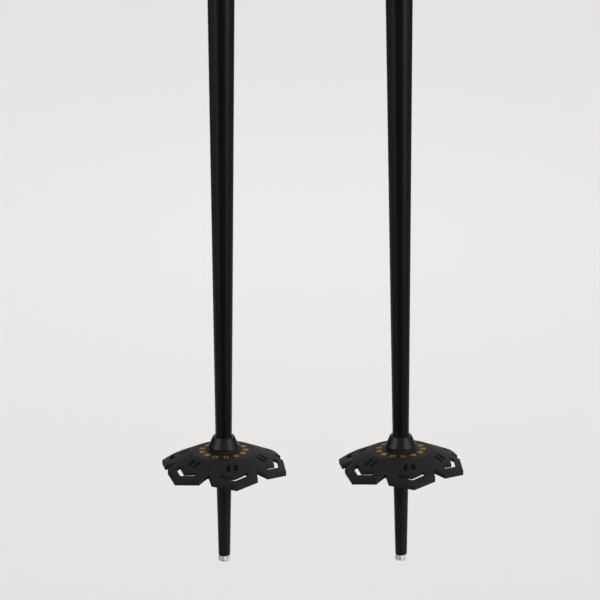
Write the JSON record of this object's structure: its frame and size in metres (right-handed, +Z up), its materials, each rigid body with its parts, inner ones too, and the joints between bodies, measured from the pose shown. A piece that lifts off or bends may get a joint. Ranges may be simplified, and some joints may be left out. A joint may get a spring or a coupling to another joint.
{
  "type": "trekking poles",
  "caption": "Pair of adjustable trekking poles with tapered lower tubes, lobed snow baskets, lever clamps, grips and wrist straps.",
  "frame": {"origin": "midway between the two poles' axes, level with the ends of the tips", "axes": "+Z up along the poles, +X to the right pole as the picture shows them, +Y away from the viewer"},
  "size_m": [0.179, 0.0764, 1.2],
  "materials": {
    "black_aluminium": "satin black coating",
    "black_nylon": "satin",
    "matte_rubber": "matte",
    "steel": "bright, turned",
    "dark_steel": "blackened",
    "pale_acetal": "smooth",
    "foam": "matte foam",
    "webbing": "woven"
  },
  "bodies": {
    "left_upper": {"left_upper_tube": "black_aluminium", "left_clamp": "black_nylon", "left_clamp_screw": "dark_steel", "left_cam_plate": "dark_steel", "left_barrel_nut": "dark_steel", "left_grip_sleeve": "foam", "left_grip": "foam", "left_grip_cap": "black_nylon", "left_strap_pin": "dark_steel"},
    "left_lower": {"left_lower_tube": "black_aluminium", "left_guide_bush": "pale_acetal", "left_ferrule": "black_nylon", "left_tip": "steel"},
    "left_basket": {"left_basket": "matte_rubber"},
    "left_lever": {"left_clamp_lever": "black_nylon"},
    "left_wedge": {"left_strap_wedge": "black_nylon"},
    "left_strap": {"left_strap": "webbing"},
    "right_upper": {"right_upper_tube": "black_aluminium", "right_clamp": "black_nylon", "right_clamp_screw": "dark_steel", "right_cam_plate": "dark_steel", "right_barrel_nut": "dark_steel", "right_grip_sleeve": "foam", "right_grip": "foam", "right_grip_cap": "black_nylon", "right_strap_pin": "dark_steel"},
    "right_lower": {"right_lower_tube": "black_aluminium", "right_guide_bush": "pale_acetal", "right_ferrule": "black_nylon", "right_tip": "steel"},
    "right_basket": {"right_basket": "matte_rubber"},
    "right_lever": {"right_clamp_lever": "black_nylon"},
    "right_wedge": {"right_strap_wedge": "black_nylon"},
    "right_strap": {"right_strap": "webbing"}
  },
  "joints": [
    {"name": "left_length_slide", "type": "slide", "parent": "left_upper", "child": "left_lower", "axis": [0, 0, 1], "range_m": [-0.145, 0.12]},
    {"name": "left_basket_turn", "type": "hinge", "parent": "left_lower", "child": "left_basket", "pos_m": [-0.0526, 0, 0.065], "axis": [0, 0, 1], "range_deg": [0, 90]},
    {"name": "left_lever_hinge", "type": "hinge", "parent": "left_upper", "child": "left_lever", "pos_m": [-0.0365, -0.016, 0.516], "axis": [0, 0, -1], "range_deg": [0, 160]},
    {"name": "left_wedge_slide", "type": "slide", "parent": "left_upper", "child": "left_wedge", "axis": [0, 0, 1], "range_m": [0, 0.008]},
    {"name": "left_strap_hinge", "type": "hinge", "parent": "left_upper", "child": "left_strap", "pos_m": [-0.0526, 0.006, 1.168], "axis": [1, 0, 0], "range_deg": [0, 80]},
    {"name": "right_pole_lift", "type": "slide", "parent": "left_upper", "child": "right_upper", "axis": [0, 0, 1], "range_m": [0, 0.3]},
    {"name": "right_length_slide", "type": "slide", "parent": "right_upper", "child": "right_lower", "axis": [0, 0, 1], "range_m": [-0.145, 0.12]},
    {"name": "right_basket_turn", "type": "hinge", "parent": "right_lower", "child": "right_basket", "pos_m": [0.0526, 0, 0.065], "axis": [0, 0, 1], "range_deg": [0, 90]},
    {"name": "right_lever_hinge", "type": "hinge", "parent": "right_upper", "child": "right_lever", "pos_m": [0.0687, -0.016, 0.516], "axis": [0, 0, -1], "range_deg": [0, 160]},
    {"name": "right_wedge_slide", "type": "slide", "parent": "right_upper", "child": "right_wedge", "axis": [0, 0, 1], "range_m": [0, 0.008]},
    {"name": "right_strap_hinge", "type": "hinge", "parent": "right_upper", "child": "right_strap", "pos_m": [0.0526, 0.006, 1.168], "axis": [1, 0, 0], "range_deg": [0, 80]}
  ]
}
